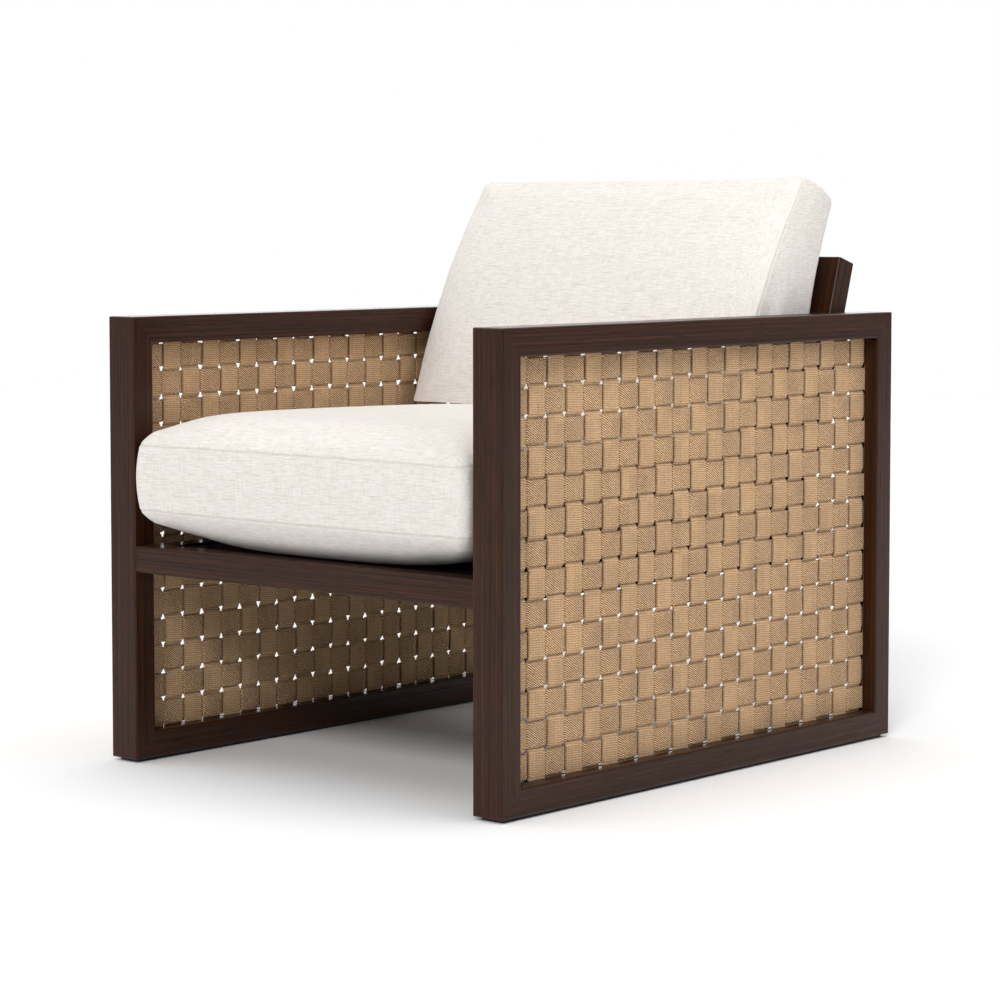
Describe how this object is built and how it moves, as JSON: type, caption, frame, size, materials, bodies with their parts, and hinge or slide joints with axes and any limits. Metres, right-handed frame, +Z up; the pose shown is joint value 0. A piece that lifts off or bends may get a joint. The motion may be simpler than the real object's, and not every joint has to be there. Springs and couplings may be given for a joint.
{
  "type": "armchair",
  "caption": "Lounge armchair: dark mitred wood side frames filled with woven jute webbing, loose linen seat cushion and raked loose back cushion.",
  "frame": {"origin": "on the floor under the middle of the chair's box", "axes": "+X to the sitter's left, +Y to the back of the chair, +Z up"},
  "size_m": [0.735, 0.89, 0.8283],
  "materials": {
    "stained_ash": "dark brown stained open-grain ash under a satin lacquer",
    "raw_beech": "raw planed beech",
    "jute_webbing": "woven natural jute webbing",
    "elastic_webbing": "black elastic upholstery webbing",
    "deck_cloth": "black non-woven decking cloth",
    "black_nylon": "matte black nylon glide strip",
    "zinc_steel": "zinc plated steel",
    "linen": "off-white slubby linen upholstery cloth"
  },
  "bodies": {
    "frame": {"left_front_stile": "stained_ash", "left_rear_stile": "stained_ash", "left_arm_rail": "stained_ash", "left_floor_rail": "stained_ash", "left_mitre_tenons": "raw_beech", "left_upright_straps": "jute_webbing", "left_level_straps": "jute_webbing", "left_strap_keys": "raw_beech", "left_glide_strip": "black_nylon", "right_front_stile": "stained_ash", "right_rear_stile": "stained_ash", "right_arm_rail": "stained_ash", "right_floor_rail": "stained_ash", "right_mitre_tenons": "raw_beech", "right_upright_straps": "jute_webbing", "right_level_straps": "jute_webbing", "right_strap_keys": "raw_beech", "right_glide_strip": "black_nylon", "seat_front_rail": "stained_ash", "seat_rear_rail": "stained_ash", "left_seat_rail": "stained_ash", "right_seat_rail": "stained_ash", "seat_cross_rail": "stained_ash", "left_back_post": "stained_ash", "right_back_post": "stained_ash", "back_top_rail": "stained_ash", "back_bottom_rail": "stained_ash", "seat_dowels": "raw_beech", "back_dowels": "raw_beech", "back_strap_keys": "raw_beech", "deck_cross_straps": "elastic_webbing", "deck_long_straps": "elastic_webbing", "deck_cloth": "deck_cloth", "back_upright_straps": "jute_webbing", "back_level_straps": "jute_webbing", "post_bolts": "zinc_steel", "post_washers": "zinc_steel", "arm_inserts": "zinc_steel", "post_screws": "zinc_steel"},
    "seat_cushion": {"seat_cushion": "linen"},
    "back_cushion": {"back_cushion": "linen"}
  },
  "joints": [
    {"name": "seat_cushion_pull", "type": "slide", "parent": "frame", "child": "seat_cushion", "axis": [0, -1, 0], "range_m": [0, 0.71]},
    {"name": "back_cushion_lift", "type": "slide", "parent": "frame", "child": "back_cushion", "axis": [0, 0.2924, 0.9563], "range_m": [0, 0.28]}
  ]
}
